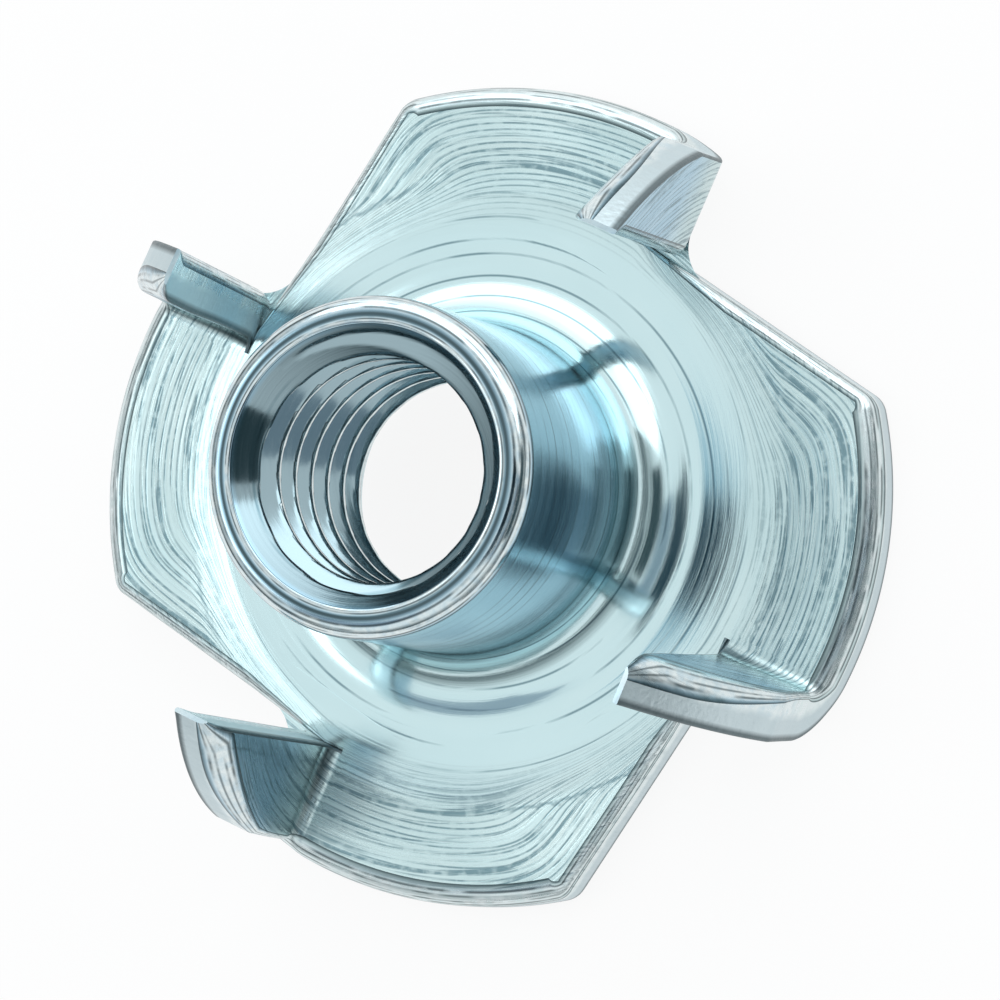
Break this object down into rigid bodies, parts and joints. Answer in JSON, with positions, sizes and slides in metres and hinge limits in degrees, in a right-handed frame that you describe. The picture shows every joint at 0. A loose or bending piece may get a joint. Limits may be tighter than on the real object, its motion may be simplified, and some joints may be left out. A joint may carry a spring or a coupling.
{
  "type": "tee nut",
  "caption": "Pronged tee nut drawn from one sheet: round notched flange, pinwheel prongs folded up beside a tapped barrel, drawn funnel on the flange face",
  "frame": {"origin": "centre of the flange's outer face, on the axis of the bore", "axes": "+Z along the barrel, away from the flange face; +X through the foot of one prong's cut"},
  "size_m": [0.019, 0.019, 0.009],
  "materials": {
    "zinc_plate": "bright zinc plating over mild steel, slightly bluish, with a fine turned grain"
  },
  "bodies": {
    "root": {"tee_nut": "zinc_plate"}
  },
  "joints": []
}
